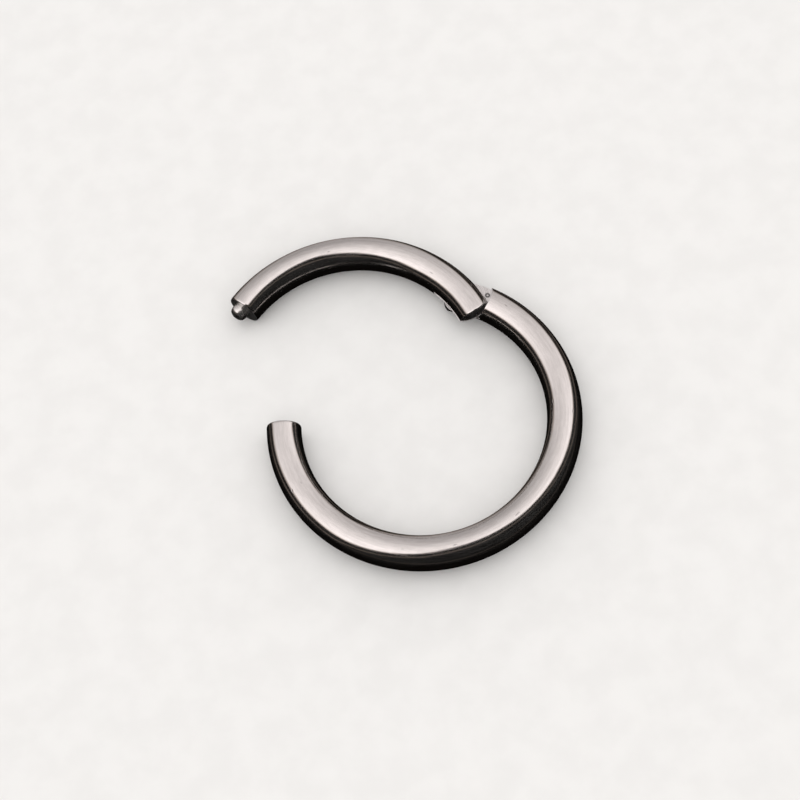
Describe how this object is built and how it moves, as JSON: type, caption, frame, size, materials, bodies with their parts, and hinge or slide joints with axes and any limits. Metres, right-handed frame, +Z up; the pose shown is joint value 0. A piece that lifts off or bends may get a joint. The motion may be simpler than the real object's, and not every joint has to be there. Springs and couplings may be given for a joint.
{
  "type": "hinged segment ring",
  "caption": "Round-wire steel piercing ring whose upper arc swings open on a lap hinge and latches with a domed pin in a blind socket.",
  "frame": {"origin": "middle of the ring's footprint with its gate open as modelled, on the surface that it lies on", "axes": "+Z up along the ring's and the hinge's axes, +Y from the closed side of the ring towards the open gate, which is the longest extent, +X towards the hinge's side"},
  "size_m": [0.0112, 0.0128, 0.0012],
  "materials": {
    "satin_steel": "satin, fine brushing along the wire",
    "rivet_steel": "ground flush",
    "bright_steel": "polished"
  },
  "bodies": {
    "ring": {"main_ring": "satin_steel", "hinge_rivet": "rivet_steel"},
    "gate": {"gate_segment": "satin_steel", "latch_pin": "bright_steel"}
  },
  "joints": [
    {"name": "gate_hinge", "type": "hinge", "parent": "ring", "child": "gate", "pos_m": [0.00243, 0.00324, 0.0006], "axis": [0, 0, -1], "range_deg": [-35.5, 54.5]}
  ]
}
